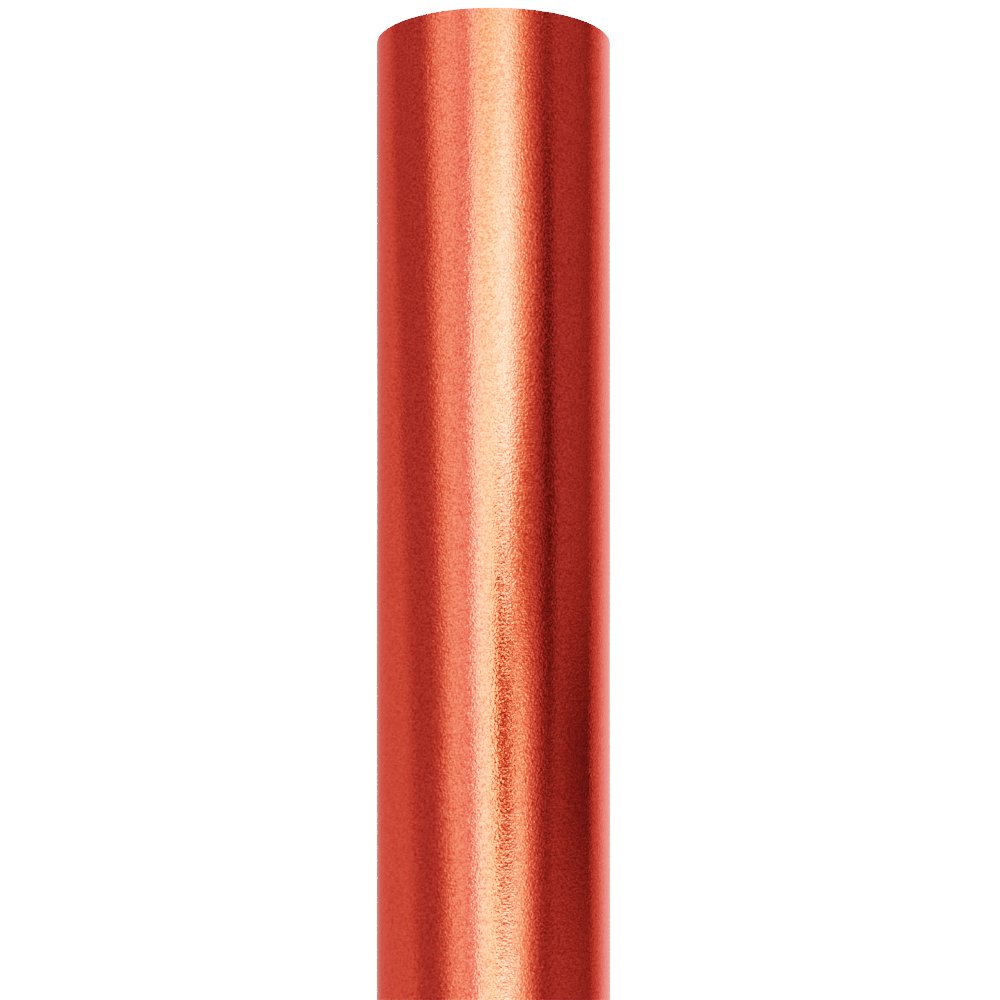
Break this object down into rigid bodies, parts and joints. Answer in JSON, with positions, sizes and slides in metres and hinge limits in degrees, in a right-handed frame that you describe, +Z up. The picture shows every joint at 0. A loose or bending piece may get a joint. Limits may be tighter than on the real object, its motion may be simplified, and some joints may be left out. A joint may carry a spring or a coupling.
{
  "type": "copper foil roll",
  "caption": "Upright roll of wide adhesive copper foil, wound with its paper liner on an open paperboard core, its free tail held down by clear tabs.",
  "frame": {"origin": "centre of the core's lower end, on the surface that the roll stands on", "axes": "+Z up along the roll's axis; -Y is the front, +Y the back, where the web's free tail lies"},
  "size_m": [0.0589, 0.06, 0.3054],
  "materials": {
    "copper_foil": "satin",
    "wound_web": "satin",
    "release_liner": "matte",
    "paperboard": "matte",
    "tissue_tape": "matte",
    "clear_tape": "gloss"
  },
  "bodies": {
    "roll": {"core_tube": "paperboard", "start_tape": "tissue_tape", "wound_web": "wound_web", "outer_liner_turn": "release_liner", "outer_foil_turn": "copper_foil"},
    "liner_end": {"liner_tail": "release_liner"},
    "foil_end": {"foil_tail": "copper_foil"},
    "lower_tab": {"closing_tab_lower": "clear_tape"},
    "upper_tab": {"closing_tab_upper": "clear_tape"}
  },
  "joints": [
    {"name": "tail_lift", "type": "hinge", "parent": "roll", "child": "liner_end", "pos_m": [0.0229, 0.01922, 0.1527], "axis": [0, 0, -1], "range_deg": [0, 50]},
    {"name": "foil_peel", "type": "hinge", "parent": "liner_end", "child": "foil_end", "pos_m": [0.0229, 0.01922, 0.1527], "axis": [0, 0, -1], "range_deg": [0, 70]},
    {"name": "lower_tab_lift", "type": "hinge", "parent": "foil_end", "child": "lower_tab", "pos_m": [0.00261, 0.02989, 0.0765], "axis": [0, 0, -1], "range_deg": [0, 90]},
    {"name": "upper_tab_lift", "type": "hinge", "parent": "foil_end", "child": "upper_tab", "pos_m": [0.00261, 0.02989, 0.2289], "axis": [0, 0, -1], "range_deg": [0, 90]}
  ]
}
